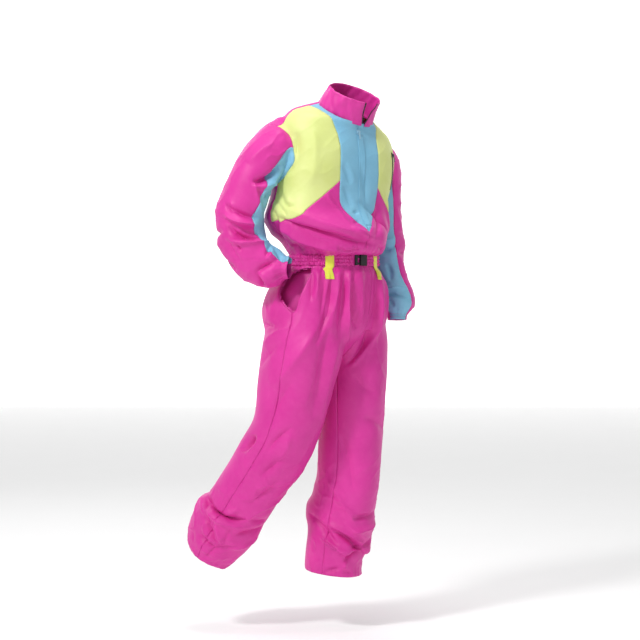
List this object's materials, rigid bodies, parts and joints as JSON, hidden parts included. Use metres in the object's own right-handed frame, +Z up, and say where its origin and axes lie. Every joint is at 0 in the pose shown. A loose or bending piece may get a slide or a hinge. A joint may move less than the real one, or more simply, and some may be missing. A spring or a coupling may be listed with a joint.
{
  "type": "ski suit",
  "caption": "One-piece ski suit, colour-blocked, worn and walking: stand collar open, ruched belt with side-release buckle, slant pockets, elastic cuffs.",
  "frame": {"origin": "middle of the wearer's shoulders, on the body's own axis, 1.53 m above the ground the wearer stands on", "axes": "+Z up, -Y is the wearer's front, +X is the wearer's left; metres"},
  "size_m": [0.64, 0.5305, 1.4878],
  "materials": {
    "pink_cloth": "smooth woven nylon, soft sheen, hot pink",
    "blue_cloth": "smooth woven nylon, soft sheen, light blue",
    "yellow_cloth": "smooth woven nylon, soft sheen, neon yellow",
    "zip_tape": "woven tape with moulded teeth, black",
    "black_plastic": "satin black",
    "slider_blue": "satin light blue enamel"
  },
  "bodies": {
    "suit": {"bodice_front_blue_R": "blue_cloth", "bodice_front_blue_L": "blue_cloth", "bodice_front_yellow_R": "yellow_cloth", "bodice_front_yellow_L": "yellow_cloth", "bodice_front_pink_R": "pink_cloth", "bodice_front_pink_L": "pink_cloth", "bodice_back": "pink_cloth", "collar": "pink_cloth", "sleeve_pink_R": "pink_cloth", "sleeve_blue_R": "blue_cloth", "sleeve_pink_L": "pink_cloth", "sleeve_blue_L": "blue_cloth", "leg_front_R": "pink_cloth", "leg_back_R": "pink_cloth", "leg_front_L": "pink_cloth", "leg_back_L": "pink_cloth", "pocket_bag_R": "pink_cloth", "pocket_bag_L": "pink_cloth", "belt": "pink_cloth", "belt_loop_R": "yellow_cloth", "belt_loop_L": "yellow_cloth", "belt_loop_back": "yellow_cloth", "buckle_socket": "black_plastic", "buckle_plug": "black_plastic", "zip_tape_R": "zip_tape", "zip_tape_L": "zip_tape", "front_placket": "blue_cloth", "front_zip_slider": "slider_blue", "chest_zip_tape": "zip_tape", "chest_zip_slider": "black_plastic"},
    "front_pull": {"front_zip_pull": "slider_blue"},
    "chest_pull": {"chest_zip_pull": "black_plastic"}
  },
  "joints": [
    {"name": "front_pull_swing", "type": "hinge", "parent": "suit", "child": "front_pull", "pos_m": [0.00014, -0.12508, -0.0297], "axis": [-0.9997, -0.024, 0], "range_deg": [0, 120]},
    {"name": "chest_pull_swing", "type": "hinge", "parent": "suit", "child": "chest_pull", "pos_m": [0.15058, -0.10304, -0.08883], "axis": [-0.83, -0.5578, 0], "range_deg": [0, 120]}
  ]
}
